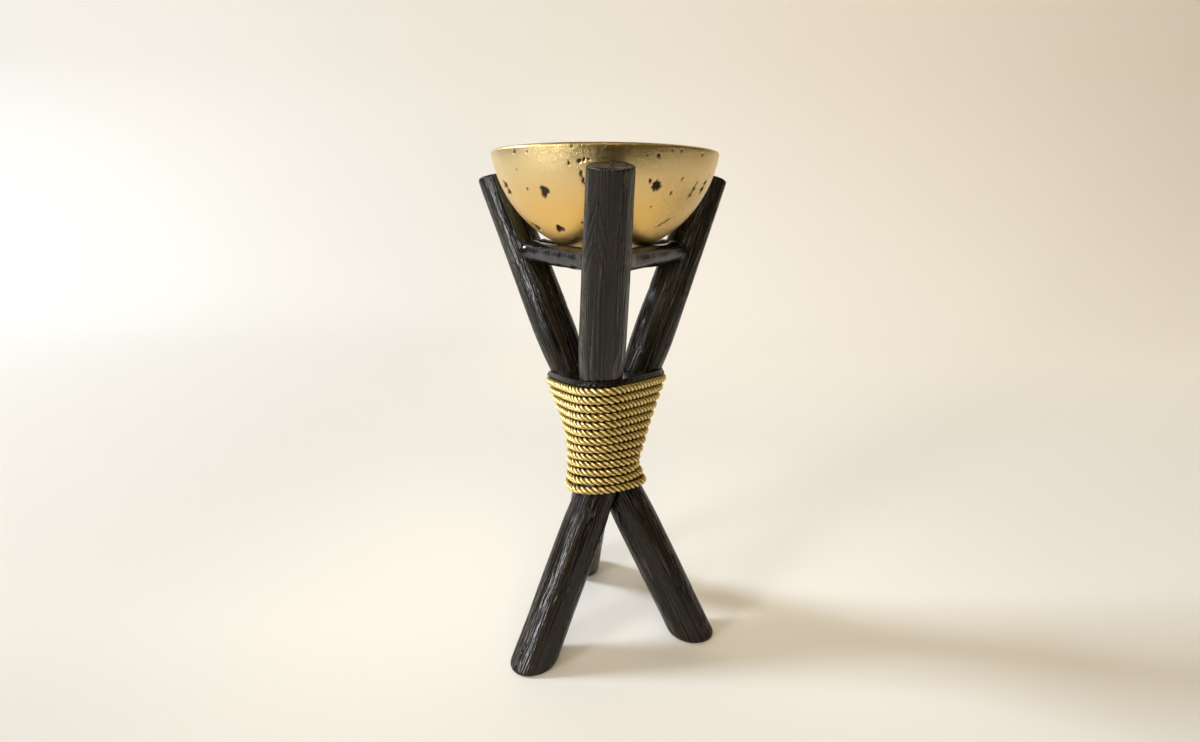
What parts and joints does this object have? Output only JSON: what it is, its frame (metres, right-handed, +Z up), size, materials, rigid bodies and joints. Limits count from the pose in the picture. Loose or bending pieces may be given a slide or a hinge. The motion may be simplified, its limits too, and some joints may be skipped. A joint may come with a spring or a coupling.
{
  "type": "candle holder",
  "caption": "Table candle holder: carved poles crossed as a tripod, bound with rope at the crossing, carry a pitted open bowl on rungs between their upper ends.",
  "frame": {"origin": "on the floor plane, under the centre of the whole object's bounding box", "axes": "+Z up from the floor to the bowl's rim, -Y towards the viewer of the picture, and +X to that viewer's right"},
  "size_m": [0.1544, 0.16, 0.2998],
  "materials": {
    "dark_wood": "carved dark brown wood under a satin varnish",
    "dark_lacquer": "round wood under a glossy near-black lacquer",
    "pale_wood": "plain unfinished wood",
    "dark_filler": "glossy near-black moulded filler",
    "gold_rope": "twisted cord with an antique gold finish, dark in its hollows",
    "aged_gold": "satin antique gold with pits and fine cracks"
  },
  "bodies": {
    "stand": {"pole_front": "dark_wood", "pole_right": "dark_wood", "pole_left": "dark_wood", "rung_right": "dark_lacquer", "rung_back": "dark_lacquer", "rung_left": "dark_lacquer", "crossing_peg": "pale_wood", "binding_core": "dark_filler", "rope_binding": "gold_rope"},
    "bowl": {"bowl": "aged_gold"}
  },
  "joints": [
    {"name": "bowl_lift", "type": "slide", "parent": "stand", "child": "bowl", "axis": [0, 0, 1], "range_m": [0, 0.07]}
  ]
}
